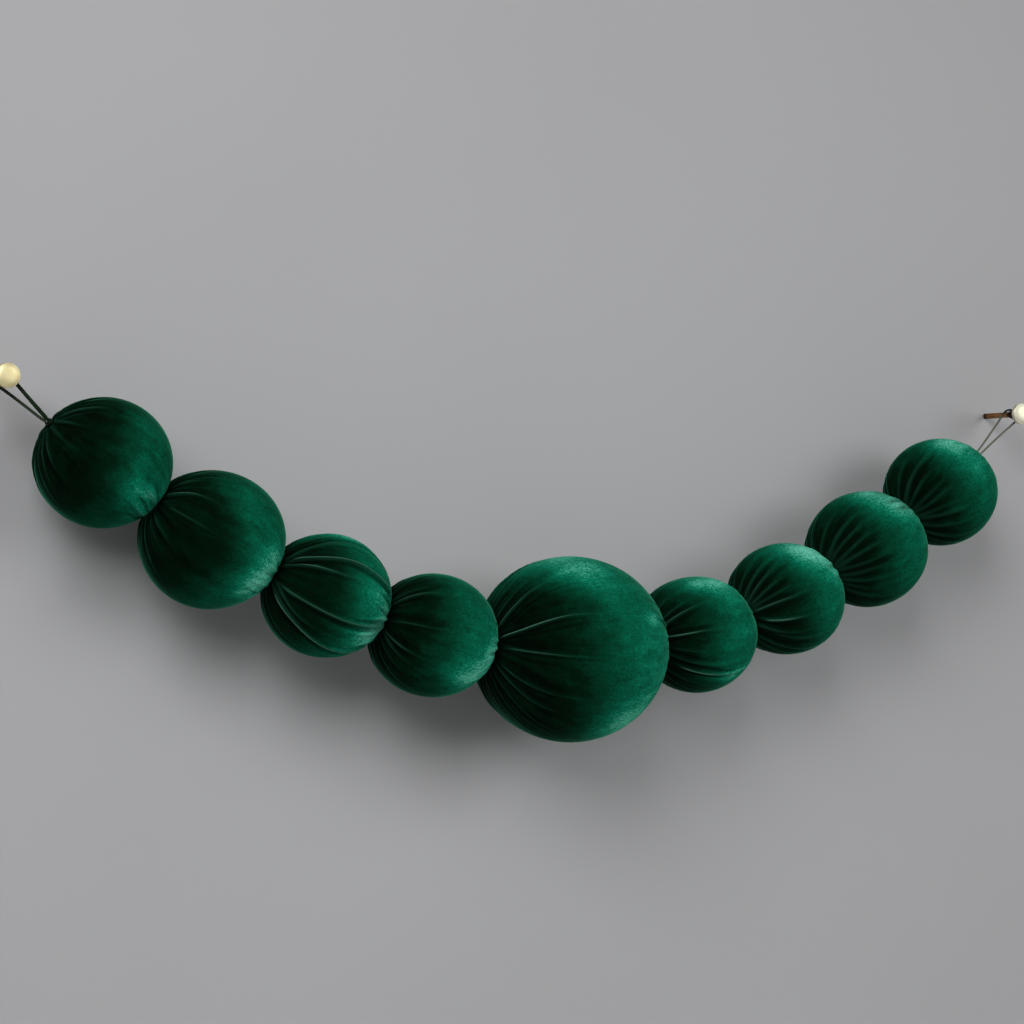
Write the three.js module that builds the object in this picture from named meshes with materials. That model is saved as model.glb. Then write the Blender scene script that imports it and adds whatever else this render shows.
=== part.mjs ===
import * as THREE from 'three';
import { mergeVertices } from 'three/addons/utils/BufferGeometryUtils.js';

// A garland of nine stuffed velvet balls, hung by a loop of string at each end from two brass wall pegs.
// Millimetres. X runs right along the wall, Y runs into it, Z is up, and the wall's face is at y = 0.
// The origin is where the left peg leaves the wall.

// The two pegs, and the string
const PEG_SPACING = 782;
const RIGHT_PEG_DROP = 4.3;
const SHANK_RADIUS = 2.0;
const FLARE_START = 27.5;
const FLARE_RADIUS = 6.4;
const FLARE_CURVE = 1.15; // the power that the flare's radius grows with
const HEAD_BACK = 40.3;
const HEAD_RADIUS = 7.7;
const HEAD_THICKNESS = 3.0;
const HEAD_BEVEL = 0.4;
const DOME_RISE = 1.4;
const STRING_DIAMETER = 1.6;
const WRAP_GAP = 0.62; // between the string's side and the peg, measured square to the peg's axis
const STRAND_SPACING = 1.9;
const KNOT_RADIUS = 2.6;
const KNOT_GAP = 0.4; // a knot stays clear of the drawn-in cloth all round it

// The balls
const BALL_SPREAD = 1.06; // a soft ball is this much wider than it is tall
const TOUCH_GAP = 0.3; // between two pieces that press on each other
const WALL_GAP = 0.2;
const POLE_DEPTH = 2.8; // how far the gathers draw each pole in
const POLE_WIDTH = 6.5; // degrees
const FOLD_WIDTH = 8; // degrees round the ball, from a fold's ridge to where it has died away
const TROUGH_OFFSET = 1.5; // fold widths below the ridge
const TROUGH_DEPTH = 0.9; // of the ridge's rise
const POLE_FADE = 14; // degrees over which a fold rises from its end
const BACK_FOLDS = { first: 118, last: 242, step: 25, rise: 0.7 };
const BACK_LEFT_END = { from: 12, to: 85 };
const BACK_RIGHT_END = { from: 98, to: 168 };

// How fine each solid is
const MERIDIANS = 40;
const RINGS = 12;
const POLE_CROWDING = 0.08; // the rings lie closer together towards the poles
const STRING_SIDES = 8;
const STRING_STEPS = 40;
const WRAP_STEPS = 6;
const PEG_SIDES = 24;
const FLARE_STEPS = 6;
const DOME_STEPS = 3;
const KNOT_MERIDIANS = 10;
const KNOT_RINGS = 8;
const MERGE_DISTANCE = 0.001; // vertices nearer than this are one

// A table's rows as objects, named by its columns
function table(columns, rows) {
  return rows.map((row) => Object.fromEntries(columns.map((name, i) => [name, row[i]])));
}

// Each ball's centre, as far along the wall, out from it and below the left peg, and how tall the ball is
const BALLS = table(['along', 'out', 'below', 'height'], [
  [61.0, 45.1, 52.0, 80.8],
  [130.3, 53.0, 99.0, 86.8],
  [205.3, 62.2, 134.4, 78.4],
  [281.0, 64.7, 160.1, 79.6],
  [383.6, 65.4, 170.2, 122.8],
  [486.5, 58.9, 161.5, 79.0],
  [562.6, 56.4, 138.0, 77.2],
  [634.8, 52.0, 103.2, 81.2],
  [703.3, 47.9, 62.5, 76.8],
]);

// The main folds on each ball's front. A fold runs along a meridian: turn is the meridian's angle round the
// string, 0 facing out from the wall and 90 up. It runs between two angles measured from the left pole.
const FOLD_COLUMNS = ['turn', 'from', 'to', 'rise'];
const FOLDS = [
  table(FOLD_COLUMNS, [
    [72, 10, 75, 0.6],
    [41, 14, 72, 1.1],
    [10, 8, 62, 1.0],
    [-16, 12, 68, 0.7],
    [-48, 15, 80, 0.8],
    [-74, 10, 90, 0.6],
    [20, 108, 158, 0.8],
    [-6, 112, 172, 1.1],
    [-36, 108, 168, 1.1],
    [-60, 115, 165, 0.9],
  ]),
  table(FOLD_COLUMNS, [
    [78, 10, 80, 0.6],
    [50, 12, 60, 0.6],
    [21, 12, 74, 1.1],
    [-8, 20, 82, 0.8],
    [-42, 15, 70, 0.8],
    [-70, 10, 70, 0.7],
    [38, 125, 170, 0.7],
    [5, 128, 170, 0.8],
    [-22, 125, 170, 0.9],
    [-52, 118, 168, 0.9],
  ]),
  table(FOLD_COLUMNS, [
    [76, 10, 165, 0.7],
    [50, 14, 165, 1.2],
    [31, 14, 150, 1.1],
    [15, 12, 100, 1.0],
    [2, 95, 170, 0.8],
    [-10, 100, 172, 1.0],
    [-24, 14, 150, 1.2],
    [-40, 14, 120, 1.1],
    [-54, 18, 168, 1.3],
    [-78, 12, 150, 0.8],
  ]),
  table(FOLD_COLUMNS, [
    [76, 10, 75, 0.6],
    [52, 12, 70, 0.8],
    [40, 14, 82, 1.1],
    [-2, 18, 86, 0.9],
    [-33, 15, 84, 1.0],
    [-50, 15, 84, 0.8],
    [-75, 10, 70, 0.7],
    [10, 122, 170, 0.9],
    [-20, 125, 172, 1.2],
    [-42, 118, 168, 1.0],
  ]),
  table(FOLD_COLUMNS, [
    [78, 10, 62, 1.0],
    [62, 10, 60, 0.9],
    [46, 10, 74, 1.7],
    [19, 10, 100, 1.9],
    [-6, 14, 82, 1.2],
    [-34, 16, 78, 1.1],
    [-50, 16, 74, 1.0],
    [-66, 14, 76, 1.0],
    [22, 115, 168, 1.2],
    [-12, 125, 168, 1.1],
  ]),
  table(FOLD_COLUMNS, [
    [72, 12, 74, 0.8],
    [52, 12, 70, 0.9],
    [38, 12, 92, 1.0],
    [10, 14, 78, 1.0],
    [-18, 16, 82, 0.9],
    [-30, 14, 128, 1.4],
    [-45, 30, 150, 1.2],
    [-62, 12, 80, 0.9],
    [15, 122, 168, 0.8],
    [60, 120, 168, 0.8],
  ]),
  table(FOLD_COLUMNS, [
    [84, 12, 88, 0.9],
    [68, 12, 88, 1.1],
    [50, 12, 84, 1.1],
    [36, 12, 84, 1.0],
    [15, 14, 92, 1.1],
    [-10, 16, 84, 1.2],
    [-28, 20, 92, 0.9],
    [-48, 20, 96, 1.1],
    [50, 120, 166, 1.0],
    [4, 116, 166, 0.9],
  ]),
  table(FOLD_COLUMNS, [
    [80, 12, 84, 0.9],
    [62, 12, 90, 1.0],
    [44, 14, 92, 1.0],
    [22, 16, 104, 1.1],
    [-6, 14, 82, 1.0],
    [-24, 14, 78, 0.8],
    [-50, 12, 76, 0.8],
    [58, 100, 160, 1.0],
    [36, 104, 164, 1.0],
    [6, 118, 166, 0.8],
  ]),
  table(FOLD_COLUMNS, [
    [84, 12, 90, 0.8],
    [64, 14, 104, 1.0],
    [48, 14, 86, 0.9],
    [26, 14, 78, 0.9],
    [-4, 14, 74, 1.0],
    [-24, 14, 78, 0.9],
    [-46, 14, 84, 0.8],
    [52, 118, 168, 0.8],
    [14, 120, 168, 0.8],
    [-20, 122, 168, 0.7],
  ]),
];

// Where the string comes out of the two end balls, as a direction from the ball's centre
const LEFT_EXIT = new THREE.Vector3(-34, 3, 25).normalize();
const RIGHT_EXIT = new THREE.Vector3(75, 4, 62).normalize();

// The two loops: how far out from the wall the strand on the peg's upper side lies, and the lower one
const LEFT_LOOP = { upper: 30.8, lower: 22 };
const RIGHT_LOOP = { upper: 27, lower: 32.7 };

const velvet = new THREE.MeshStandardMaterial({ color: 0x06402b, roughness: 0.95 });
const string = new THREE.MeshStandardMaterial({ color: 0x1c2a20, roughness: 0.9 });
const brass = new THREE.MeshStandardMaterial({ color: 0xd8bf86, roughness: 0.35, metalness: 1.0 });

const garland = new THREE.Group();

function addPiece(name, geometry, material) {
  const mesh = new THREE.Mesh(geometry, material.clone());
  mesh.name = name;
  garland.add(mesh);
  return mesh;
}

// A closed geometry with its repeated vertices joined
function closed(geometry) {
  geometry.deleteAttribute('normal');
  geometry.deleteAttribute('uv');
  const joined = mergeVertices(geometry, MERGE_DISTANCE);
  joined.computeVertexNormals();
  return joined;
}

// A ball's own directions and sizes, measured as if it were round: its width is spread afterwards
function spread(vector) {
  return new THREE.Vector3(vector.x * BALL_SPREAD, vector.y * BALL_SPREAD, vector.z);
}

function unspread(vector) {
  return new THREE.Vector3(vector.x / BALL_SPREAD, vector.y / BALL_SPREAD, vector.z);
}

function centreOf(ball) {
  return new THREE.Vector3(ball.along, -ball.out, -ball.below);
}

function towards(ball, other) {
  return unspread(centreOf(other).sub(centreOf(ball))).normalize();
}

// How far a ball reaches from its centre along a direction before it is pressed flat
function reach(ball, direction) {
  return (ball.height / 2) * spread(direction).length();
}

// The string bends a little inside each ball, so a ball's axis turns from one pole's direction to the other's
function axisAt(leftPole, rightPole, share) {
  const start = leftPole.clone().negate();
  const turn = new THREE.Quaternion().setFromUnitVectors(start, rightPole);
  const part = new THREE.Quaternion().slerp(turn, share);
  return start.applyQuaternion(part);
}

// 1 along the middle of a fold's length, falling to 0 at its ends
function foldStrength(fold, polar) {
  const rising = THREE.MathUtils.smoothstep(polar, fold.from, fold.from + POLE_FADE);
  const falling = 1 - THREE.MathUtils.smoothstep(polar, fold.to - POLE_FADE, fold.to);
  return rising * falling;
}

function angleBetween(a, b) {
  return THREE.MathUtils.euclideanModulo(a - b + 180, 360) - 180;
}

// A ridge with a trough along its lower side
function foldHeight(fold, polar, turn) {
  const across = angleBetween(turn, fold.turn) / FOLD_WIDTH;
  const ridge = Math.exp(-across * across);
  const below = across + TROUGH_OFFSET;
  const trough = TROUGH_DEPTH * Math.exp(-below * below);
  return fold.rise * foldStrength(fold, polar) * (ridge - trough);
}

// The back is hidden by the wall, so its folds are plain and evenly spaced
function backFolds() {
  const folds = [];
  for (let turn = BACK_FOLDS.first; turn <= BACK_FOLDS.last; turn += BACK_FOLDS.step) {
    folds.push({ turn, rise: BACK_FOLDS.rise, ...BACK_LEFT_END });
    folds.push({ turn: turn + BACK_FOLDS.step / 2, rise: BACK_FOLDS.rise, ...BACK_RIGHT_END });
  }
  return folds;
}

function ballRadius(ball, folds, polar, turn) {
  const fromPole = Math.min(polar, 180 - polar) / POLE_WIDTH;
  const drawnIn = POLE_DEPTH * Math.exp(-fromPole * fromPole);
  const folded = folds.reduce((sum, fold) => sum + foldHeight(fold, polar, turn), 0);
  return ball.height / 2 - drawnIn + folded;
}

// The flat faces that a ball is pressed against: each neighbour, shared by size, and the wall
function pressedFaces(index) {
  const ball = BALLS[index];
  const faces = [{ normal: new THREE.Vector3(0, 1, 0), limit: ball.out - WALL_GAP }];
  for (const other of [BALLS[index - 1], BALLS[index + 1]].filter(Boolean)) {
    const apart = centreOf(other).sub(centreOf(ball));
    const normal = apart.clone().normalize();
    const own = reach(ball, normal);
    const share = own / (own + reach(other, normal));
    faces.push({ normal, limit: apart.length() * share - TOUCH_GAP / 2 });
  }
  return faces;
}

function press(offset, faces) {
  for (const { normal, limit } of faces) {
    const past = offset.dot(normal) - limit;
    if (past > 0) offset.addScaledVector(normal, -past);
  }
  return offset;
}

function ballGeometry(index) {
  const ball = BALLS[index];
  const before = BALLS[index - 1];
  const after = BALLS[index + 1];
  const leftPole = before ? towards(ball, before) : LEFT_EXIT;
  const rightPole = after ? towards(ball, after) : RIGHT_EXIT;
  const folds = FOLDS[index].concat(backFolds());
  const faces = pressedFaces(index);
  const outward = new THREE.Vector3(0, -1, 0);
  const geometry = new THREE.SphereGeometry(1, MERIDIANS, RINGS);
  const place = geometry.getAttribute('position');
  for (let ring = 0; ring <= RINGS; ring++) {
    const share = ring / RINGS;
    const polar = 180 * (share - POLE_CROWDING * Math.sin(2 * Math.PI * share));
    const angle = THREE.MathUtils.degToRad(polar);
    const axis = axisAt(leftPole, rightPole, (1 - Math.cos(angle)) / 2);
    const front = outward.clone().addScaledVector(axis, -outward.dot(axis)).normalize();
    const top = front.clone().cross(axis);
    for (let side = 0; side <= MERIDIANS; side++) {
      const turn = ((side % MERIDIANS) * 360) / MERIDIANS;
      const round = THREE.MathUtils.degToRad(turn);
      const isPole = ring === 0 || ring === RINGS;
      const radius = ballRadius(ball, folds, polar, isPole ? 0 : turn);
      const offset = axis.clone().multiplyScalar(-Math.cos(angle));
      if (!isPole) {
        offset.addScaledVector(front, Math.sin(angle) * Math.cos(round));
        offset.addScaledVector(top, Math.sin(angle) * Math.sin(round));
      }
      const point = press(spread(offset.multiplyScalar(radius)), faces).add(centreOf(ball));
      place.setXYZ(ring * (MERIDIANS + 1) + side, point.x, point.y, point.z);
    }
  }
  return closed(geometry);
}

// A peg's radius at a distance out from the wall, as far as its head
function neckRadius(out) {
  const share = THREE.MathUtils.clamp((out - FLARE_START) / (HEAD_BACK - FLARE_START), 0, 1);
  return SHANK_RADIUS + (FLARE_RADIUS - SHANK_RADIUS) * share ** FLARE_CURVE;
}

// A brass peg turned about Y: a thin shank that flares out to a thick disc head with a domed face
function pegGeometry() {
  const front = HEAD_BACK + HEAD_THICKNESS;
  const outline = [];
  for (let step = 0; step <= DOME_STEPS; step++) {
    const share = step / DOME_STEPS;
    const radius = (HEAD_RADIUS - HEAD_BEVEL) * share;
    outline.push(new THREE.Vector2(radius, -front - DOME_RISE * (1 - share * share)));
  }
  outline.push(new THREE.Vector2(HEAD_RADIUS, -front + HEAD_BEVEL));
  outline.push(new THREE.Vector2(HEAD_RADIUS, -HEAD_BACK - HEAD_BEVEL));
  outline.push(new THREE.Vector2(HEAD_RADIUS - HEAD_BEVEL, -HEAD_BACK));
  for (let step = FLARE_STEPS; step >= 0; step--) {
    const out = THREE.MathUtils.lerp(FLARE_START, HEAD_BACK, step / FLARE_STEPS);
    outline.push(new THREE.Vector2(neckRadius(out), -out));
  }
  outline.push(new THREE.Vector2(SHANK_RADIUS, 0));
  outline.push(new THREE.Vector2(0, 0));
  return closed(new THREE.LatheGeometry(outline, PEG_SIDES));
}

// The knot's centre, seated in the drawn-in pole of an end ball
function knotCentre(ball, exit) {
  const seat = ball.height / 2 - POLE_DEPTH + KNOT_GAP + KNOT_RADIUS;
  return centreOf(ball).add(spread(exit.clone().multiplyScalar(seat)));
}

function knotGeometry() {
  return closed(new THREE.SphereGeometry(KNOT_RADIUS, KNOT_MERIDIANS, KNOT_RINGS));
}

// The string's way from the knot up one strand, half round the peg and down the other
function loopPath(knot, peg, loop) {
  const pull = new THREE.Vector3(knot.x - peg.x, 0, knot.z - peg.z).normalize();
  const upper = new THREE.Vector3(-pull.z, 0, pull.x);
  if (upper.z < 0) upper.negate();
  const wrap = [];
  for (let step = 0; step <= WRAP_STEPS; step++) {
    const share = step / WRAP_STEPS;
    const angle = Math.PI * share;
    const out = THREE.MathUtils.lerp(loop.upper, loop.lower, share);
    const radius = neckRadius(out) + WRAP_GAP + STRING_DIAMETER / 2;
    const point = peg.clone().setY(-out);
    point.addScaledVector(upper, radius * Math.cos(angle));
    point.addScaledVector(pull, -radius * Math.sin(angle));
    wrap.push(point);
  }
  const ends = [STRAND_SPACING / 2, -STRAND_SPACING / 2].map((aside) => {
    const away = peg.clone().setY(-(loop.upper + loop.lower) / 2).sub(knot).normalize();
    const lift = KNOT_RADIUS + TOUCH_GAP;
    return knot.clone().addScaledVector(away, lift).addScaledVector(upper, aside);
  });
  const strand = (from, to) => [1 / 3, 2 / 3].map((share) => from.clone().lerp(to, share));
  return new THREE.CatmullRomCurve3([
    ends[0],
    ...strand(ends[0], wrap[0]),
    ...wrap,
    ...strand(wrap[WRAP_STEPS], ends[1]),
    ends[1],
  ]);
}

function stringGeometry(path) {
  const section = new THREE.Shape();
  for (let side = 0; side < STRING_SIDES; side++) {
    const angle = (2 * Math.PI * side) / STRING_SIDES;
    const x = (STRING_DIAMETER / 2) * Math.cos(angle);
    const y = (STRING_DIAMETER / 2) * Math.sin(angle);
    if (side === 0) section.moveTo(x, y);
    else section.lineTo(x, y);
  }
  section.closePath();
  return closed(new THREE.ExtrudeGeometry(section, { steps: STRING_STEPS, extrudePath: path }));
}

BALLS.forEach((ball, index) => addPiece(`ball_${index + 1}`, ballGeometry(index), velvet));

const ENDS = [
  { side: 'left', ball: BALLS[0], exit: LEFT_EXIT, loop: LEFT_LOOP, peg: new THREE.Vector3(0, 0, 0) },
  {
    side: 'right',
    ball: BALLS[BALLS.length - 1],
    exit: RIGHT_EXIT,
    loop: RIGHT_LOOP,
    peg: new THREE.Vector3(PEG_SPACING, 0, -RIGHT_PEG_DROP),
  },
];

for (const { side, ball, exit, loop, peg } of ENDS) {
  const knot = knotCentre(ball, exit);
  addPiece(`peg_${side}`, pegGeometry(), brass).position.copy(peg);
  addPiece(`knot_${side}`, knotGeometry(), string).position.copy(knot);
  addPiece(`loop_${side}`, stringGeometry(loopPath(knot, peg, loop)), string);
}

export default garland;
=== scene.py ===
import math

import bpy
import numpy as np
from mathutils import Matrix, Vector


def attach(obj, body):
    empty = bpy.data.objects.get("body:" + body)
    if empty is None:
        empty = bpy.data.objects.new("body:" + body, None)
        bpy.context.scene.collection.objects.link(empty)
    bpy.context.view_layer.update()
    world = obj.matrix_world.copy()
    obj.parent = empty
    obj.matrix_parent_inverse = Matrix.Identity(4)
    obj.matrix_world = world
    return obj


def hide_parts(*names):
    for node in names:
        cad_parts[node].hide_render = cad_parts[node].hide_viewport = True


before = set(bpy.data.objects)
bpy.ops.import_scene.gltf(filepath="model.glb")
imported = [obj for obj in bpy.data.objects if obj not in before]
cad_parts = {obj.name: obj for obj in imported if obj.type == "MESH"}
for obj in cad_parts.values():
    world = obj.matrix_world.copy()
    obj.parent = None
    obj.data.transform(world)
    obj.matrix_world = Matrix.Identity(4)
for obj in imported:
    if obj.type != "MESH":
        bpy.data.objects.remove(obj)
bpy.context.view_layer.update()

# A garland of nine stuffed velvet balls, hung by a loop of string at each end from two brass wall pegs.
# The tables are in millimetres and degrees. X runs right along the wall, Y into it, and Z is up.
MM = 0.001

# The camera: place and clipping in metres, angles in degrees, lens and sensor in millimetres
CAMERA_PLACE = (-0.6945, -1.8569, -0.1170)
CAMERA_YAW = 29.99
CAMERA_PITCH = 1.021
CAMERA_LENS = 111.386
SENSOR_WIDTH = 36.0
CLIP_START = 0.01
CLIP_END = 50.0

# The pegs and the string, as in the CAD
PEG_SPACING = 782
RIGHT_PEG_DROP = 4.3
SHANK_RADIUS = 2.0
FLARE_START = 27.5
FLARE_RADIUS = 6.4
FLARE_CURVE = 1.15
HEAD_BACK = 40.3
HEAD_RADIUS = 7.7
HEAD_THICKNESS = 3.0
HEAD_BEVEL = 0.4
DOME_RISE = 1.4
STRING_DIAMETER = 1.6
WRAP_GAP = 0.62
STRAND_SPACING = 1.9
KNOT_RADIUS = 2.6
KNOT_GAP = 0.4
TOUCH_GAP = 0.3
WRAP_STEPS = 6

# The balls, as in the CAD: wider than tall, just clear of the wall, and drawn in round their poles
BALL_SPREAD = 1.06
WALL_GAP = 0.2
POLE_DEPTH = 2.8
POLE_WIDTH = 6.5


def table(columns, rows):
    """A table's rows as dictionaries, named by its columns."""
    return [dict(zip(columns, row)) for row in rows]


# Each ball's centre, as far along the wall, out from it and below the left peg, and how tall the ball is
BALLS = table(["along", "out", "below", "height"], [
    [61.0, 45.1, 52.0, 80.8],
    [130.3, 53.0, 99.0, 86.8],
    [205.3, 62.2, 134.4, 78.4],
    [281.0, 64.7, 160.1, 79.6],
    [383.6, 65.4, 170.2, 122.8],
    [486.5, 58.9, 161.5, 79.0],
    [562.6, 56.4, 138.0, 77.2],
    [634.8, 52.0, 103.2, 81.2],
    [703.3, 47.9, 62.5, 76.8],
])


def unit(vector):
    return vector / np.linalg.norm(vector)


# Which way the string leaves each end ball
LEFT_EXIT = unit(np.array([-34.0, 3.0, 25.0]))
RIGHT_EXIT = unit(np.array([75.0, 4.0, 62.0]))

# The loops: how far out from the wall the upper and the lower strand lie on the peg, and for each strand how
# thick it is, as a share of the full string, and how pale
LEFT_LOOP = {"upper": 30.8, "lower": 22, "thick": (1.78, 1.22), "pale": (0.0, 0.22)}
RIGHT_LOOP = {"upper": 27, "lower": 32.7, "thick": (0.95, 0.95), "pale": (0.95, 1.0)}


def smoothstep(value, low, high):
    """0 at low and 1 at high, with a smooth rise between them."""
    share = np.clip((value - low) / (high - low), 0.0, 1.0)
    return share * share * (3.0 - 2.0 * share)


def make_camera():
    data = bpy.data.cameras.new("camera")
    data.lens = CAMERA_LENS
    data.sensor_width = SENSOR_WIDTH
    data.clip_start = CLIP_START
    data.clip_end = CLIP_END
    camera = bpy.data.objects.new("camera", data)
    bpy.context.scene.collection.objects.link(camera)
    camera.location = CAMERA_PLACE
    camera.rotation_euler = (math.radians(90 + CAMERA_PITCH), 0, math.radians(-CAMERA_YAW))
    bpy.context.scene.camera = camera


make_camera()
bpy.context.scene.view_settings.view_transform = "Standard"


# Meshes

def make_object(name, points, corners, sizes, material):
    """A smooth mesh object from points in millimetres, the corners of all its faces in one row, and how many
    corners each face has."""
    mesh = bpy.data.meshes.new(name)
    mesh.vertices.add(len(points))
    mesh.vertices.foreach_set("co", (points * MM).astype(np.float32).ravel())
    mesh.loops.add(len(corners))
    mesh.loops.foreach_set("vertex_index", corners.astype(np.int32))
    mesh.polygons.add(len(sizes))
    starts = np.concatenate([[0], np.cumsum(sizes)[:-1]])
    mesh.polygons.foreach_set("loop_start", starts.astype(np.int32))
    mesh.update(calc_edges=True)
    mesh.validate()
    mesh.shade_smooth()
    mesh.materials.append(material)
    piece = bpy.data.objects.new(name, mesh)
    bpy.context.scene.collection.objects.link(piece)
    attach(piece, "root")
    return piece


def tube_faces(rings, sides, wrapped=False):
    """The faces round rings of points. A wrapped tube runs back into itself, and an open one has a many-sided
    face at each end."""
    ring = np.arange(rings if wrapped else rings - 1)[:, None]
    side = np.arange(sides)[None, :]
    after = (ring + 1) % rings
    beside = (side + 1) % sides
    quads = np.stack([
        ring * sides + side,
        ring * sides + beside,
        after * sides + beside,
        after * sides + side,
    ], axis=-1).reshape(-1)
    sizes = np.full(len(quads) // 4, 4)
    if wrapped:
        return quads, sizes
    first = np.arange(sides)[::-1]
    last = (rings - 1) * sides + np.arange(sides)
    return np.concatenate([quads, first, last]), np.concatenate([sizes, [sides, sides]])


def capped_faces(rings, sides):
    """The faces of a closed skin. Its first point is one pole, then come the rings, then the other pole."""
    quads, sizes = tube_faces(rings, sides)
    quads = quads[:-2 * sides] + 1
    sizes = sizes[:-2]
    side = np.arange(sides)
    beside = (side + 1) % sides
    last_ring = (rings - 1) * sides + 1
    last_pole = rings * sides + 1
    near = np.stack([np.zeros(sides, int), beside + 1, side + 1], axis=-1).reshape(-1)
    far = np.stack([np.full(sides, last_pole), last_ring + side, last_ring + beside], axis=-1).reshape(-1)
    corners = np.concatenate([quads, near, far])
    return corners, np.concatenate([sizes, np.full(2 * sides, 3)])


def facing_out(points, corners, sizes):
    """The same faces, turned over if they enclose a negative volume."""
    starts = np.concatenate([[0], np.cumsum(sizes)[:-1]])
    first, second, third = (points[corners[starts + step]] for step in range(3))
    volume = np.sum(np.einsum("ij,ij->i", first, np.cross(second, third)))
    quads = sizes == 4
    fourth = points[corners[starts[quads] + 3]]
    volume += np.sum(np.einsum("ij,ij->i", first[quads], np.cross(third[quads], fourth)))
    if volume > 0:
        return corners
    turned = [corners[start:start + size][::-1] for start, size in zip(starts, sizes)]
    return np.concatenate(turned)


def set_attributes(piece, attributes):
    """Gives a piece's points named numbers or vectors, for its material to read."""
    for name, values in attributes.items():
        kind, field = ("FLOAT", "value") if values.ndim == 1 else ("FLOAT_VECTOR", "vector")
        layer = piece.data.attributes.new(name, kind, "POINT")
        layer.data.foreach_set(field, values.astype(np.float32).ravel())


# Materials

class Shader:
    """Builds one material's nodes. A value is a number, a colour or another node's output."""

    def __init__(self, name):
        self.material = bpy.data.materials.new(name)
        self.material.use_nodes = True
        self.tree = self.material.node_tree
        self.tree.nodes.clear()

    def put(self, socket, value):
        if isinstance(value, bpy.types.NodeSocket):
            self.tree.links.new(value, socket)
        else:
            socket.default_value = value

    def add(self, kind, inputs=None, **settings):
        node = self.tree.nodes.new(kind)
        for key, value in settings.items():
            setattr(node, key, value)
        for key, value in (inputs or {}).items():
            self.put(node.inputs[key], value)
        return node

    def math(self, operation, *values):
        node = self.add("ShaderNodeMath", operation=operation)
        for socket, value in zip(node.inputs, values):
            self.put(socket, value)
        return node.outputs[0]

    def mix(self, share, first, second):
        """A mix of two colours. A Mix node's colour sockets are its seventh and eighth."""
        node = self.add("ShaderNodeMix", data_type="RGBA", clamp_factor=True)
        for index, value in zip((0, 6, 7), (share, first, second)):
            self.put(node.inputs[index], value)
        return node.outputs[2]

    def attribute(self, name, output="Fac"):
        return self.add("ShaderNodeAttribute", attribute_name=name).outputs[output]

    def noise(self, place, scale, detail, roughness):
        node = self.add("ShaderNodeTexNoise", {
            "Vector": place, "Scale": scale, "Detail": detail, "Roughness": roughness,
        })
        return node.outputs["Fac"]

    def centred(self, noise, strength):
        """A noise moved to lie round 0, times a strength."""
        return self.math("MULTIPLY", self.math("SUBTRACT", noise, 0.5), strength)

    def remap(self, value, low, high, to_low, to_high):
        node = self.add("ShaderNodeMapRange", {
            "Value": value, "From Min": low, "From Max": high, "To Min": to_low, "To Max": to_high,
        }, interpolation_type="SMOOTHSTEP")
        return node.outputs["Result"]

    def bump(self, height, strength, distance):
        node = self.add("ShaderNodeBump", {"Strength": strength, "Distance": distance, "Height": height})
        return node.outputs["Normal"]

    def ramp(self, share, stops):
        node = self.add("ShaderNodeValToRGB", {"Fac": share})
        elements = node.color_ramp.elements
        while len(elements) < len(stops):
            elements.new(0.5)
        for element, (place, colour) in zip(elements, stops):
            element.position = place
            element.color = (*colour, 1.0)
        return node.outputs["Color"]

    def surface(self, shader):
        output = self.add("ShaderNodeOutputMaterial")
        self.put(output.inputs["Surface"], shader)
        return self.material

    def principled(self, inputs):
        return self.surface(self.add("ShaderNodeBsdfPrincipled", inputs).outputs["BSDF"])


# Noises, as scale, detail and roughness
SPECKLE_NOISE = (0.90, 2.0, 0.6)
CLOUD_NOISE = (0.14, 3.0, 0.55)
STREAK_NOISE = (1.0, 3.0, 0.6)
FIBRE_NOISE = (2.2, 3.0, 0.6)
PATINA_NOISE = (0.22, 3.0, 0.5)
PAINT_NOISE = (3.0, 2.0, 0.5)

# Bumps, as strength and distance in metres
PILE_BUMP = (0.28, 0.0005)
FIBRE_BUMP = (0.5, 0.00008)
TURNING_BUMP = (0.15, 0.00002)

# The velvet's colour by its tone, which carries painted shade and painted sheen: from shaded pile to pile
# that catches the light and shines
VELVET_TONES = [
    (0.0, (0.0002, 0.0034, 0.0009)),
    (0.20, (0.0004, 0.0130, 0.0048)),
    (0.42, (0.0008, 0.050, 0.0235)),
    (0.62, (0.0014, 0.122, 0.064)),
    (0.80, (0.0060, 0.245, 0.142)),
    (1.0, (0.090, 0.51, 0.345)),
    (1.25, (0.20, 0.74, 0.56)),
]
PALEST_TONE = 1.25

# The speckle's strength in painted-shaded pile and its growth in painted-lit pile, the clouds' strength, and
# how much speckle there is in the bump
SPECKLE_LEAST = 0.15
SPECKLE_GROWTH = 0.85
CLOUD_STRENGTH = 0.32
SPECKLE_BUMP = 0.6

# The folds' painted shade in the troughs and painted highlights on the crests and lines: an attribute, where
# it begins to show and where in full, how much then, and the colour
FOLD_SHADE_AND_HIGHLIGHTS = [
    ("trough", 0.10, 1.30, 0.62, (0.0002, 0.0034, 0.0011, 1.0)),
    ("crest", 0.15, 1.4, 0.60, (0.0085, 0.044, 0.026, 1.0)),
    ("line", 0.8, 2.0, 0.85, (0.10, 0.25, 0.175, 1.0)),
]

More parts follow.
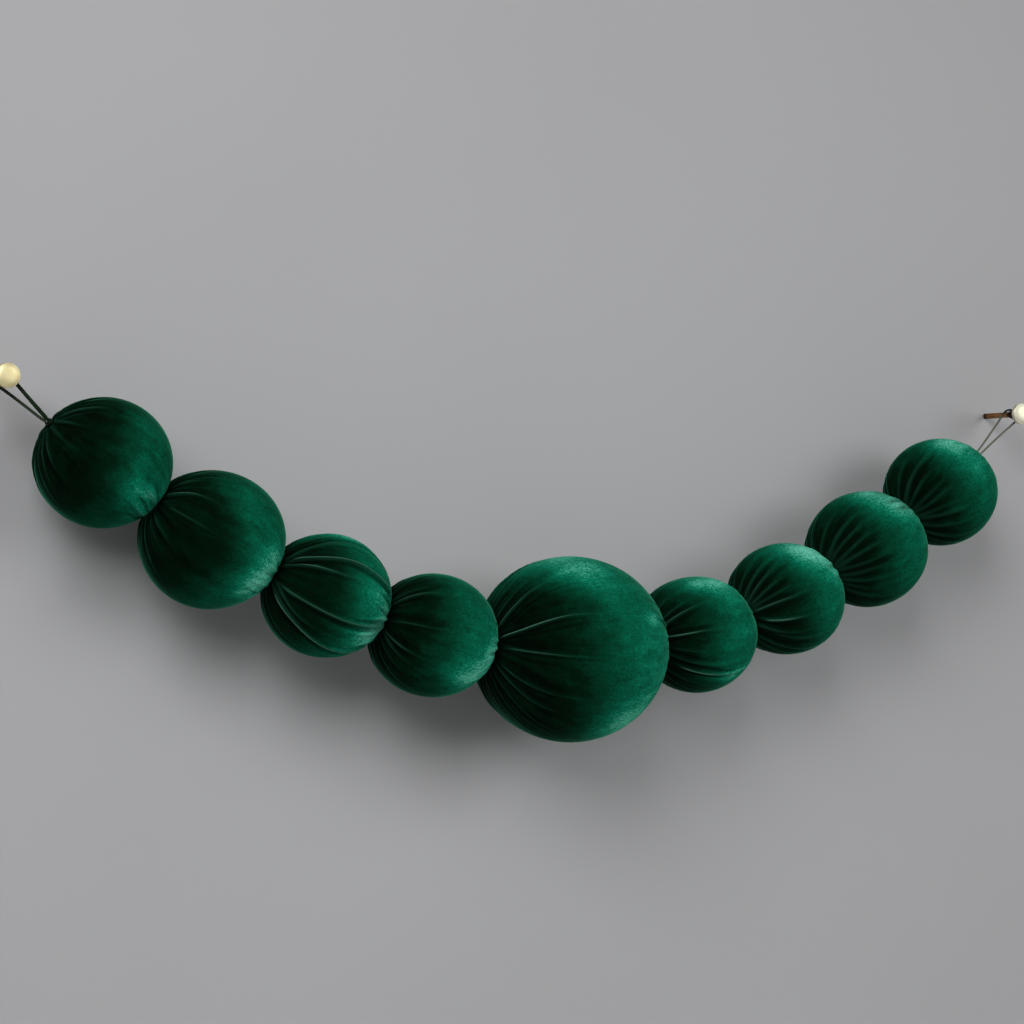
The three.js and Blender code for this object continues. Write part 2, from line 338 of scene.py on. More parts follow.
# The string's and the brass's colours, as the stops of a ramp over their noise, or one colour
STRING_DARK = [(0.25, (0.005, 0.013, 0.006)), (0.75, (0.018, 0.038, 0.019))]
# Painted shade in the grooves between the plies
STRING_DARK_GROOVE_SHADE = (0.002, 0.005, 0.003, 1.0)
STRING_PALE = [(0.25, (0.13, 0.15, 0.105)), (0.75, (0.23, 0.25, 0.19))]
# Painted shade in the grooves of the paler string
STRING_PALE_GROOVE_SHADE = (0.05, 0.06, 0.045, 1.0)
BRASS_CLEAN = [(0.3, (0.98, 0.85, 0.47)), (0.7, (1.0, 0.92, 0.58))]
# The painted highlight, pale where the head shines
BRASS_PAINTED_HIGHLIGHT = (1.0, 0.98, 0.80, 1.0)
# Aged brass, darker as painted shade behind the head
BRASS_AGED_AND_SHADED = [(0.3, (0.30, 0.13, 0.050)), (0.7, (0.58, 0.31, 0.145))]
# Painted shade, by the wall and under the head
BRASS_PAINTED_SHADE = (0.020, 0.013, 0.006, 1.0)
BRASS_GLOSS = (0.3, 0.7, 0.60, 0.53)


def velvet_material():
    """Short brushed pile with its light painted in: dark in painted shade, pale and speckled in painted
    sheen, and with painted shade and highlights on its folds.
    """
    shader = Shader("emerald_velvet")
    place = shader.attribute("nap_place", "Vector")
    speckles = shader.noise(place, *SPECKLE_NOISE)
    clouds = shader.noise(place, *CLOUD_NOISE)
    streaks = shader.noise(shader.attribute("gather_place", "Vector"), *STREAK_NOISE)
    # The pile's tone is painted light: painted shade where it is dark, painted sheen where it is pale
    nap = shader.attribute("nap")
    pile_shade_and_sheen_squared = shader.math("MULTIPLY", nap, nap)
    lively = shader.math("MULTIPLY_ADD", pile_shade_and_sheen_squared, SPECKLE_GROWTH, SPECKLE_LEAST)
    speckle = shader.centred(speckles, lively)
    cloud = shader.centred(clouds, CLOUD_STRENGTH)
    streak = shader.centred(streaks, shader.attribute("gathered"))
    tone = shader.math("ADD", shader.math("ADD", nap, speckle), shader.math("ADD", cloud, streak))
    stops = [(tone_at / PALEST_TONE, colour) for tone_at, colour in VELVET_TONES]
    colour = shader.ramp(shader.math("DIVIDE", tone, PALEST_TONE), stops)
    # Painted shade in the folds' troughs, and painted highlights on their crests and lines
    for name, low, high, most, tint in FOLD_SHADE_AND_HIGHLIGHTS:
        share = shader.remap(shader.attribute(name), low, high, 0.0, most)
        colour = shader.mix(share, colour, tint)
    height = shader.math("ADD", shader.math("MULTIPLY", speckles, SPECKLE_BUMP), clouds)
    return shader.principled({
        "Base Color": colour,
        "Roughness": 0.95,
        "Specular IOR Level": 0.03,
        "Sheen Weight": 1.0,
        "Sheen Roughness": 0.24,
        "Sheen Tint": (0.06, 0.36, 0.21, 1.0),
        "Normal": shader.bump(height, *PILE_BUMP),
    })


def string_material():
    """Matte dark green twisted thread, with painted shade between the plies, and paler on some strands, away
    from the pegs.
    """
    shader = Shader("twisted_string")
    fibres = shader.noise(shader.attribute("string_place", "Vector"), *FIBRE_NOISE)
    groove = shader.attribute("groove")
    dark_colour = shader.mix(groove, shader.ramp(fibres, STRING_DARK), STRING_DARK_GROOVE_SHADE)
    paleness = shader.mix(groove, shader.ramp(fibres, STRING_PALE), STRING_PALE_GROOVE_SHADE)
    return shader.principled({
        "Base Color": shader.mix(shader.attribute("pale"), dark_colour, paleness),
        "Roughness": 0.9,
        "Specular IOR Level": 0.05,
        "Sheen Weight": 0.04,
        "Sheen Roughness": 0.4,
        "Sheen Tint": (0.4, 0.5, 0.4, 1.0),
        "Normal": shader.bump(fibres, *FIBRE_BUMP),
    })


def brass_material():
    """Satin brass with faint turning marks, a little uneven in colour and gloss. It can be painted pale as a
    painted highlight, darker and browner as aged brass in painted shade, and nearly black as painted shade."""
    shader = Shader("satin_brass")
    place = shader.attribute("peg_place", "Vector")
    turning = shader.add("ShaderNodeTexWave", {
        "Vector": place, "Scale": 0.75, "Distortion": 0.6, "Detail": 2.0, "Detail Scale": 3.0,
    }, wave_type="RINGS", rings_direction="Y").outputs["Fac"]
    patina = shader.noise(place, *PATINA_NOISE)
    colour = shader.ramp(patina, BRASS_CLEAN)
    # Painted highlight, aged brass in painted shade, and painted shade
    colour = shader.mix(shader.attribute("bleached"), colour, BRASS_PAINTED_HIGHLIGHT)
    colour = shader.mix(shader.attribute("aged"), colour, shader.ramp(patina, BRASS_AGED_AND_SHADED))
    colour = shader.mix(shader.attribute("soiled"), colour, BRASS_PAINTED_SHADE)
    return shader.principled({
        "Base Color": colour,
        "Metallic": 1.0,
        "Roughness": shader.remap(patina, *BRASS_GLOSS),
        "Normal": shader.bump(turning, *TURNING_BUMP),
    })


velvet = velvet_material()
string = string_material()
brass = brass_material()


# The two loops of string

PATH_SAMPLES = 60
RING_SPACING = 0.35
STRING_SIDES = 24
INTO_KNOT = 1.2

# The twisted plies, and how far across a ply its groove begins
PLIES = 3
PLY_RADIUS = 0.5
PLY_OFFSET = 0.3
TWIST_LENGTH = 5.2
GROOVE_START = 0.55

# How fast the fibres' noise changes along the string, and how far along it from the peg it begins to turn
# pale and is pale in full
FIBRE_STRETCH = 0.25
PALE_FROM_PEG = (8.0, 16.0)


def curve_through(points, samples):
    """Points along the centripetal Catmull-Rom curve through the given ones."""
    points = np.array(points)
    first = 2 * points[0] - points[1]
    last = 2 * points[-1] - points[-2]
    points = np.concatenate([[first], points, [last]])
    share = np.linspace(0.0, 1.0, samples, endpoint=False)[:, None]
    found = []
    for index in range(1, len(points) - 2):
        before, start, end, after = points[index - 1:index + 3]
        early, own, late = (
            math.sqrt(np.linalg.norm(b - a)) for a, b in ((before, start), (start, end), (end, after))
        )
        leaving = (start - before) / early - (end - before) / (early + own) + (end - start) / own
        arriving = (end - start) / own - (after - start) / (own + late) + (after - end) / late
        leaving = leaving * own
        arriving = arriving * own
        squared = -3 * start + 3 * end - 2 * leaving - arriving
        cubed = 2 * start - 2 * end + leaving + arriving
        found.append(start + leaving * share + squared * share ** 2 + cubed * share ** 3)
    return np.concatenate(found + [points[-2:-1]])


def length_along(points):
    """How far along a line each of its points is."""
    steps = np.linalg.norm(np.diff(points, axis=0), axis=1)
    return np.concatenate([[0.0], np.cumsum(steps)])


def evenly(points, spacing):
    """The same line with points at even steps of about the given spacing, and its length."""
    along = length_along(points)
    count = int(round(along[-1] / spacing)) + 1
    wanted = np.linspace(0.0, along[-1], count)
    line = np.stack([np.interp(wanted, along, values) for values in points.T], axis=-1)
    return line, along[-1]


def centre_of(ball):
    return np.array([ball["along"], -ball["out"], -ball["below"]])


def widened(vector):
    """A vector in a round ball, moved to where it is in one that's wider than tall."""
    return vector * np.array([BALL_SPREAD, BALL_SPREAD, 1.0])


def knot_centre(ball, direction):
    seat = ball["height"] / 2 - POLE_DEPTH + KNOT_GAP + KNOT_RADIUS
    return centre_of(ball) + widened(direction * seat)


def neck_radius(out):
    """A peg's radius at a distance out from the wall, as far as its head."""
    share = np.clip((out - FLARE_START) / (HEAD_BACK - FLARE_START), 0.0, 1.0)
    return SHANK_RADIUS + (FLARE_RADIUS - SHANK_RADIUS) * share ** FLARE_CURVE


def loop_path(knot, peg, loop):
    """The string's way from the knot up one strand, half round the peg and down the other."""
    pull = unit(np.array([knot[0] - peg[0], 0.0, knot[2] - peg[2]]))
    upper = np.array([-pull[2], 0.0, pull[0]])
    if upper[2] < 0:
        upper = -upper
    wrap = []
    for step in range(WRAP_STEPS + 1):
        share = step / WRAP_STEPS
        angle = math.pi * share
        out = loop["upper"] + (loop["lower"] - loop["upper"]) * share
        radius = neck_radius(out) + WRAP_GAP + STRING_DIAMETER / 2
        point = peg + upper * radius * math.cos(angle) - pull * radius * math.sin(angle)
        point[1] = -out
        wrap.append(point)
    middle = peg.copy()
    middle[1] = -(loop["upper"] + loop["lower"]) / 2
    away = unit(middle - knot)
    lift = KNOT_RADIUS + TOUCH_GAP
    ends = [knot + away * lift + upper * side * STRAND_SPACING / 2 for side in (1, -1)]
    into = [knot + away * (lift - INTO_KNOT) + upper * side * STRAND_SPACING / 4 for side in (1, -1)]
    strands = [
        [end + (hold - end) * share for share in (1 / 3, 2 / 3)]
        for end, hold in ((ends[0], wrap[0]), (ends[1], wrap[-1]))
    ]
    route = [into[0], ends[0], *strands[0], *wrap, *strands[1][::-1], ends[1], into[1]]
    return curve_through(route, PATH_SAMPLES)


def carried_frames(line, wrapped):
    """At each point of a line, two directions across it that turn as little as they can along it."""
    if wrapped:
        ahead = np.roll(line, -1, axis=0) - np.roll(line, 1, axis=0)
    else:
        ahead = np.gradient(line, axis=0)
    ahead = ahead / np.linalg.norm(ahead, axis=1)[:, None]
    across = [unit(np.cross(ahead[0], [0.0, 0.0, 1.0]))]
    for direction in ahead[1:]:
        last = across[-1]
        across.append(unit(last - direction * np.dot(last, direction)))
    across = np.array(across)
    return across, np.cross(ahead, across)


def ply_outline(angle):
    """How far a twisted string's surface is from its middle, and how far across its ply: 1 in the groove."""
    sector = 2 * math.pi / PLIES
    within = (angle + sector / 2) % sector - sector / 2
    radius = PLY_OFFSET * np.cos(within) + np.sqrt(PLY_RADIUS ** 2 - (PLY_OFFSET * np.sin(within)) ** 2)
    return radius, np.abs(within) / (sector / 2)


def string_paleness(line, pale):
    """How pale a loop is at each point, from its upper strand to its lower one and dark at the peg."""
    share = np.linspace(0.0, 1.0, len(line))
    from_peg = length_along(line)[-1] * np.abs(share - 0.5)
    return (pale[0] + (pale[1] - pale[0]) * share) * smoothstep(from_peg, *PALE_FROM_PEG)


def string_tube(name, line, thick, paleness, wrapped=False):
    """A tube of twisted plies along a line, with its thickness at both ends and how pale it is at each point.
    """
    across, beside = carried_frames(line, wrapped)
    angle = np.linspace(0.0, 2 * math.pi, STRING_SIDES, endpoint=False)
    along = np.linspace(0.0, length_along(line)[-1], len(line))
    angle, along = np.meshgrid(angle, along)
    turned = angle + 2 * math.pi * along / TWIST_LENGTH
    radius, across_ply = ply_outline(angle)
    radius = radius * np.linspace(*thick, len(line))[:, None]
    points = (
        line[:, None, :]
        + across[:, None, :] * (radius * np.cos(turned))[:, :, None]
        + beside[:, None, :] * (radius * np.sin(turned))[:, :, None]
    ).reshape(-1, 3)
    corners, sizes = tube_faces(len(line), STRING_SIDES, wrapped)
    piece = make_object(name, points, facing_out(points, corners, sizes), sizes, string)
    place = np.stack([np.cos(angle), np.sin(angle), FIBRE_STRETCH * along], axis=-1)
    set_attributes(piece, {
        "groove": smoothstep(across_ply, GROOVE_START, 1.0).ravel(),
        "pale": np.repeat(paleness, STRING_SIDES),
        "string_place": place.reshape(-1, 3),
    })
    return piece


LEFT_PEG = np.array([0.0, 0.0, 0.0])
RIGHT_PEG = np.array([PEG_SPACING, 0.0, -RIGHT_PEG_DROP])
ENDS = table(["side", "ball", "exit", "peg", "loop"], [
    ["left", BALLS[0], LEFT_EXIT, LEFT_PEG, LEFT_LOOP],
    ["right", BALLS[-1], RIGHT_EXIT, RIGHT_PEG, RIGHT_LOOP],
])

for end in ENDS:
    knot = knot_centre(end["ball"], end["exit"])
    line, length = evenly(loop_path(knot, end["peg"], end["loop"]), RING_SPACING)
    paleness = string_paleness(line, end["loop"]["pale"])
    loop = string_tube(f"string_loop_{end['side']}", line, end["loop"]["thick"], paleness)
    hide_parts(f"loop_{end['side']}")


# The knots: an overhand knot pulled tight, along a trefoil curve

KNOT_SPREAD = 0.74
KNOT_HEIGHT = 1.25
KNOT_THICK = (1.0, 1.0)
KNOT_RINGS = 110

for end in ENDS:
    turn = np.linspace(0.0, 2 * math.pi, KNOT_RINGS, endpoint=False)
    flat = np.stack([
        np.sin(turn) + 2 * np.sin(2 * turn),
        np.cos(turn) - 2 * np.cos(2 * turn),
        -KNOT_HEIGHT * np.sin(3 * turn),
    ], axis=-1) * KNOT_SPREAD
    up = unit(widened(end["exit"]))
    across = unit(np.cross(up, [0.0, 1.0, 0.0]))
    turned = flat @ np.array([across, np.cross(up, across), up])
    line = turned + knot_centre(end["ball"], end["exit"])
    paleness = np.full(KNOT_RINGS, end["loop"]["pale"][0])
    knot = string_tube(f"string_knot_{end['side']}", line, KNOT_THICK, paleness, wrapped=True)
    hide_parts(f"knot_{end['side']}")


# The pegs

PEG_SIDES = 96
DOME_STEPS = 14
DOME_FLATNESS = 3
BEVEL_STEPS = 6
FLARE_STEPS = 18
SHANK_STEPS = 12
WALL_ROUND = 0.25

# The brass is aged and in painted shade behind the head, and in painted shade by the wall and on the neck
# under the head. Each pair says how far out the painted shade begins and where it is at its most.
# Aged brass in painted shade: how softly it begins behind the head
AGED_AND_SHADED_BLEND = 0.5
SHADE_BY_WALL = (6.0, 2.0)
SHADE_ON_NECK = (25.0, 29.5)
SHADE_MOST = 0.93
# How much painted highlight each peg gets
PAINTED_HIGHLIGHT = {"left": 0.0, "right": 0.9}


def peg_outline():
    """The outline as radius and distance out, from the dome to the wall, and how far out its nose is."""
    front = HEAD_BACK + HEAD_THICKNESS
    outline = []
    for share in np.linspace(0.0, 1.0, DOME_STEPS)[1:]:
        rise = DOME_RISE * (1 - share ** DOME_FLATNESS)
        outline.append(((HEAD_RADIUS - HEAD_BEVEL) * share, front + rise))
    bevel = np.linspace(0.0, math.pi / 2, BEVEL_STEPS)
    near = HEAD_BEVEL * (1 - np.sin(bevel))
    far = HEAD_BEVEL * (1 - np.cos(bevel))
    outline.extend(zip(HEAD_RADIUS - near[1:], front - far[1:]))
    outline.extend(zip(HEAD_RADIUS - far, HEAD_BACK + near))
    for out in np.linspace(HEAD_BACK, FLARE_START, FLARE_STEPS):
        outline.append((neck_radius(out), out))
    for share in np.linspace(1.0, 0.0, SHANK_STEPS)[1:]:
        outline.append((SHANK_RADIUS, WALL_ROUND + (FLARE_START - WALL_ROUND) * share))
    outline.append((SHANK_RADIUS - WALL_ROUND, 0.0))
    return np.array(outline), front + DOME_RISE


def make_peg(end):
    outline, nose = peg_outline()
    angle = np.linspace(0.0, 2 * math.pi, PEG_SIDES, endpoint=False)
    rings = np.stack([
        outline[:, :1] * np.cos(angle),
        -outline[:, 1:] + 0 * angle,
        outline[:, :1] * np.sin(angle),
    ], axis=-1).reshape(-1, 3)
    points = np.concatenate([[[0.0, -nose, 0.0]], rings, [[0.0, 0.0, 0.0]]])
    corners, sizes = capped_faces(len(outline), PEG_SIDES)
    corners = facing_out(points, corners, sizes)
    piece = make_object(f"brass_peg_{end['side']}", points + end["peg"], corners, sizes, brass)
    out = -points[:, 1]
    behind = smoothstep(out, HEAD_BACK + AGED_AND_SHADED_BLEND, HEAD_BACK - AGED_AND_SHADED_BLEND)
    by_wall = smoothstep(out, *SHADE_BY_WALL)
    by_head = smoothstep(out, *SHADE_ON_NECK) * behind
    # Painted shade by the wall and on the neck under the head, and aged brass in painted shade behind the
    # head
    set_attributes(piece, {
        "peg_place": points,
        "aged": behind,
        "soiled": SHADE_MOST * np.maximum(by_wall, by_head),
        "bleached": np.full(len(points), PAINTED_HIGHLIGHT[end["side"]]),
    })
    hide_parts(f"peg_{end['side']}")


for end in ENDS:
    make_peg(end)


# The velvet balls. Polar is the angle from a ball's left pole, and turn is the angle round its string, with 0
# facing out from the wall and 90 up.

# The skin's rings and columns, which crowd at the poles and in front, and how softly it is pressed flat
BALL_GRID = (130, 300)
BIG_BALL_GRID = (165, 480)
BIG_BALL_HEIGHT = 100
POLE_CROWDING = 0.08
FRONT_CROWDING = 28.0
SOFT_PRESS = 0.7

# A fold's shape across, in shares of its width: a crest with a painted highlight line, and a soft trough on
# each side
LINE_OFFSET = 0.25
LINE_WIDTH = 0.65
TROUGH_OFFSET = 2.1
TROUGH_WIDTH = 1.6
TROUGH_DEPTH = 0.70
UPPER_TROUGH_DEPTH = 0.28
CREASE_WIDTH = 1.25

# An end of a fold that is near a pole fades over the short share of its length, and any other over the long
# one. Folds waver a little. The narrowest is the least share of a ball's girth that folds are measured on.
NEAR_POLE = 40
SHORT_FADE = 0.20
LONG_FADE = 0.66
WAVER = 0.9
WAVER_COUNT = (3, 6)
NARROWEST = 0.3

# The folds on each ball's front. Start, middle and end are turns, and from and to are polar angles. A fold
# with a rise below 0 is a crease with no crest.
FOLD_COLUMNS = ["start", "middle", "end", "from", "to", "rise"]
FOLDS = [table(FOLD_COLUMNS, rows) for rows in (
    [[70, 72, 72, 8, 84, 0.5], [56, 58, 58, 8, 70, 0.5], [40, 46, 47, 10, 74, -0.9],
     [28, 38, 37, 8, 74, 1.5], [0, 6, 9, 6, 66, 0.8], [-7, -10, -9, 10, 62, -0.6],
     [-17, -21, -20, 8, 70, 0.7], [-34, -36, -36, 10, 70, -0.5], [-46, -52, -54, 8, 80, 0.9],
     [-64, -68, -70, 8, 82, 0.7], [-80, -80, -80, 8, 92, 0.7], [21, 18, 8, 102, 160, 0.6],
     [-2, -6, -18, 116, 166, -1.1], [-10, -14, -28, 106, 166, 1.1], [-19, -27, -50, 106, 162, -1.7],
     [-30, -38, -62, 108, 162, 1.3], [-40, -50, -72, 112, 162, -1.6], [-54, -60, -78, 116, 162, 0.7]],
    [[78, 78, 78, 8, 84, 0.5], [55, 56, 56, 10, 82, -0.8], [42, 44, 44, 8, 70, 0.6],
     [7, 19, 15, 10, 78, 1.5], [2, 8, 6, 14, 78, -0.8], [-13, -8, -11, 22, 92, 1.0],
     [-24, -24, -24, 14, 78, -0.5], [-40, -42, -44, 10, 78, 0.9], [-53, -54, -54, 12, 80, 0.6],
     [-72, -74, -76, 10, 84, 0.7], [28, 27, 23, 112, 172, 0.7], [12, 11, 8, 118, 172, 0.8],
     [2, 1, -1, 122, 172, -0.6], [-9, -9, -9, 116, 172, 1.0], [-17, -19, -25, 118, 170, -1.2],
     [-26, -34, -56, 110, 166, 1.1], [-36, -48, -72, 112, 164, -1.2], [-50, -58, -78, 112, 164, 0.8]],
    [[74, 76, 74, 8, 160, 0.9], [34, 61, 40, 14, 156, -1.5], [25, 51, 43, 10, 132, 1.4],
     [22, 38, 36, 14, 96, -0.7], [18, 30, 25, 10, 156, 2.1], [15, 21, 20, 14, 96, -1.1],
     [8, 15, 13, 10, 116, 1.9], [2, 6, 6, 14, 84, -0.7], [3, -1, -8, 92, 158, -0.9],
     [-20, -14, -9, 88, 170, 1.8], [-31, -24, -20, 10, 166, 1.6], [-35, -30, -27, 16, 158, -0.9],
     [-30, -43, -46, 10, 110, 1.2], [-44, -49, -50, 12, 90, 0.9], [-50, -50, -56, 104, 156, 1.3],
     [27, 20, 9, 92, 170, 1.3], [13, 8, 2, 96, 172, 1.1], [-33, -32, -27, 96, 172, 1.5],
     [-46, -57, -67, 10, 160, 1.9], [-56, -64, -76, 12, 150, -0.9], [-78, -80, -78, 8, 156, 0.8]],
    [[76, 76, 76, 8, 80, 0.6], [60, 62, 64, 10, 90, -0.7], [50, 52, 53, 8, 80, 0.9],
     [45, 46, 46, 12, 72, -0.6], [35, 40, 40, 8, 90, 1.5], [30, 32, 32, 12, 84, -0.7],
     [-8, -1, 3, 20, 92, 1.0], [-14, -9, -6, 20, 84, -0.6], [-40, -36, -32, 8, 88, 1.3],
     [-42, -42, -42, 10, 76, -0.8], [-47, -48, -49, 8, 80, 1.0], [-60, -61, -62, 10, 84, 0.7],
     [-76, -76, -76, 8, 86, 0.6], [2, 2, 2, 112, 172, 1.4], [-10, -11, -13, 112, 170, 1.0],
     [-14, -20, -26, 118, 170, -1.3], [-36, -34, -32, 118, 172, 0.9], [-50, -46, -40, 86, 166, 1.2],
     [-54, -56, -60, 108, 162, -0.8], [30, 29, 26, 114, 172, 0.7]],
    [[88, 87, 86, 12, 66, 1.0], [78, 78, 79, 14, 72, -1.2], [62, 68, 71, 8, 64, 1.2],
     [56, 61, 63, 12, 60, -0.8], [32, 54, 55, 6, 70, 1.9], [22, 46, 47, 10, 86, -1.5],
     [6, 21, 22, 5, 92, 2.3], [0, 15, 16, 10, 92, -1.4], [-12, -6, -3, 12, 92, 1.4],
     [-18, -16, -14, 14, 70, -0.9], [-40, -37, -33, 12, 82, 1.1], [-52, -50, -46, 12, 80, 1.1],
     [-58, -58, -56, 14, 74, -0.6], [-65, -66, -66, 12, 80, 0.9], [-77, -78, -80, 12, 88, 0.9],
     [26, 20, 15, 108, 170, 1.9], [18, 16, 13, 118, 172, -0.9], [9, 8, 7, 116, 172, 1.1],
     [-4, -5, -6, 122, 172, -0.7], [-14, -14, -12, 120, 172, 1.0], [38, 36, 30, 114, 172, 0.9],
     [-34, -32, -28, 122, 172, 0.8]],
    [[66, 70, 72, 10, 78, 1.1], [56, 60, 62, 14, 80, -0.8], [44, 49, 53, 10, 80, 1.1],
     [40, 44, 46, 14, 78, -0.7], [28, 38, 41, 8, 98, 1.5], [22, 31, 33, 14, 90, -0.8],
     [8, 8, 7, 16, 94, 1.6], [15, 14, 13, 28, 88, -0.9], [0, 1, 1, 18, 80, -0.6],
     [-13, -15, -16, 12, 80, 0.8], [-21, -23, -24, 20, 90, -1.1], [-27, -29, -33, 12, 116, 0.9],
     [-32, -36, -44, 12, 128, -1.7], [-40, -43, -51, 30, 138, 1.6], [-50, -51, -52, 16, 80, -0.9],
     [-58, -58, -60, 12, 96, 0.8], [-72, -73, -74, 10, 92, 0.7], [15, 15, 13, 114, 172, 0.7],
     [34, 33, 30, 112, 172, 0.7], [60, 58, 54, 110, 172, 0.7]],
    [[84, 85, 86, 8, 98, 0.8], [69, 74, 78, 10, 98, -1.2], [62, 66, 68, 8, 94, 1.2],
     [54, 59, 63, 10, 94, -1.2], [46, 52, 56, 8, 100, 1.3], [40, 46, 50, 10, 92, -1.1],
     [33, 38, 41, 8, 94, 1.2], [27, 31, 34, 10, 86, -0.9], [23, 26, 28, 8, 88, 1.1],
     [17, 19, 21, 10, 88, -0.9], [11, 14, 16, 8, 108, 1.4], [3, 5, 7, 10, 92, -0.9],
     [-10, -12, -13, 22, 92, 1.7], [-19, -21, -22, 12, 100, -1.2], [-29, -30, -30, 8, 92, 1.1],
     [-37, -39, -41, 30, 118, 0.9], [-45, -49, -51, 12, 110, -1.1], [-56, -58, -60, 8, 98, 1.1],
     [-70, -71, -72, 8, 96, 0.8], [66, 62, 54, 100, 168, 0.8], [51, 47, 42, 106, 170, -1.1],
     [37, 34, 30, 100, 170, 1.2], [25, 23, 21, 110, 170, -0.9], [14, 13, 12, 108, 170, 0.9],
     [4, 3, 2, 110, 170, -1.0]],
    [[80, 80, 80, 8, 96, 0.9], [62, 66, 66, 10, 118, -1.3], [55, 58, 60, 8, 102, 1.2],
     [48, 50, 52, 10, 94, -1.0], [42, 45, 47, 8, 100, 1.2], [35, 37, 39, 10, 82, -0.9],
     [28, 31, 33, 8, 96, 1.1], [22, 24, 27, 10, 86, -1.0], [16, 18, 19, 8, 98, 1.2],
     [11, 12, 13, 10, 80, -0.9], [8, 5, 8, 10, 98, 1.1], [3, -1, -4, 14, 104, -1.1],
     [-8, -7, -6, 8, 92, 1.0], [-14, -15, -16, 10, 86, -0.8], [-21, -22, -23, 8, 90, 0.9],
     [-34, -35, -36, 8, 80, 0.7], [-50, -50, -50, 8, 88, 0.8], [82, 78, 70, 88, 168, 1.2],
     [66, 62, 54, 92, 168, -1.0], [54, 53, 49, 88, 168, 1.2], [47, 47, 42, 92, 160, -0.8],
     [42, 41, 37, 88, 168, 1.1], [36, 35, 31, 94, 166, -0.8], [30, 30, 27, 88, 168, 1.1],
     [14, 12, 10, 108, 170, 0.7]],
    [[84, 84, 84, 8, 98, 0.9], [60, 65, 68, 8, 112, 1.5], [51, 57, 61, 10, 114, -1.5],
     [46, 48, 50, 8, 92, 1.1], [38, 39, 40, 10, 82, -0.8], [30, 31, 32, 8, 90, 1.0],
     [24, 25, 26, 10, 80, -0.7], [18, 19, 20, 8, 94, 1.0], [11, 11, 11, 10, 78, -0.8],
     [4, 4, 4, 8, 82, 0.7], [-5, -7, -8, 8, 98, 1.2], [-15, -16, -16, 10, 86, -0.9],
     [-25, -26, -26, 8, 94, 1.0], [-37, -38, -38, 10, 84, -0.7], [-47, -47, -46, 8, 96, 0.8],
     [-64, -64, -64, 8, 90, 0.7], [52, 50, 46, 104, 172, 0.8], [34, 32, 28, 104, 172, 0.8],
     [14, 14, 12, 110, 172, 0.7], [-20, -20, -18, 112, 172, 0.6]],
)]

# Each ball's looks. Its painted shade ends at the polar angles low, middle, high and top. Dark and lit are
# how pale the pile is painted on the shaded and the lit side of that, fold is half a fold's width, depth is
# how much of the folds' rise is in the shape, and line is how strong the painted highlight lines on the
# crests are.
TONES = table(["low", "middle", "high", "top", "dark", "lit", "fold", "depth", "line"], [
    [104, 80, 62, 66, 0.05, 0.49, 1.05, 0.8, 1.0],
    [96, 86, 62, 66, 0.08, 0.53, 1.05, 0.8, 1.0],
    [98, 90, 54, 44, 0.11, 0.59, 1.15, 0.9, 0.8],
    [76, 78, 64, 62, 0.07, 0.55, 1.00, 0.8, 1.0],
    [76, 70, 54, 40, 0.055, 0.57, 0.95, 0.9, 0.9],
    [68, 71, 64, 60, 0.12, 0.60, 1.05, 0.8, 1.0],
    [78, 78, 74, 66, 0.15, 0.61, 1.40, 0.6, 0.9],
    [68, 76, 82, 72, 0.16, 0.58, 1.60, 0.5, 0.55],
    [66, 72, 82, 78, 0.15, 0.57, 1.60, 0.5, 0.55],
])

# The painted shade's edge: its polar angle underneath, the turns of that and of low to top, half its width,
# and how far the skin's unevenness moves it. Crests get a painted highlight, the crest highlight.
EDGE_BELOW = 82
EDGE_TURNS = [-90, -45, 0, 60, 90]
EDGE_WIDTH = 33
EDGE_STIR = 7
CREST_HIGHLIGHT = 0.08

# Where the folds get shallower towards the right pole and by how much, and how uneven the skin is
CALM_START = 112
CALM_END = 150
CALM_SHARE = 0.5
STIR_DEPTH = 0.35

# The velvet's noises: how each lies on a ball, and the step from one ball to the next, so that no two are
# alike. The gathered streaks are strongest at the poles.
PILE_SQUEEZE = 0.6
PILE_STEP = 200.0
GATHER_CELLS = 6.5
GATHER_LENGTH = 0.016
GATHER_STEP = 30.0
GATHER_TONE = 0.62
GATHER_LEAST = 0.15

# The random gathers. Their reaches are from the left pole and from the right one.
SEED = 40
GATHER_COUNT = (26, 34)
GATHER_JITTER = 0.35
GATHER_START = 5
GATHER_REACHES = [(24, 66), (16, 44)]
GATHER_BEND = 5
GATHER_RISE = (0.25, 0.6)

# The random folds on the back. Each runs from a pole to its middle or a little past it.
BACK_TURNS = range(106, 254, 12)
BACK_START = 8
BACK_MIDDLE = (70, 110)
BACK_PAST = 20
BACK_LEAN = 5
BACK_RISE = (0.6, 1.2)

# The waves of the skin's unevenness, which go along and round a ball
WAVES = 7
WAVE_RINGS = (1, 4)
WAVE_SIDES = (1, 5)
WAVE_HEIGHT = (0.3, 0.6)

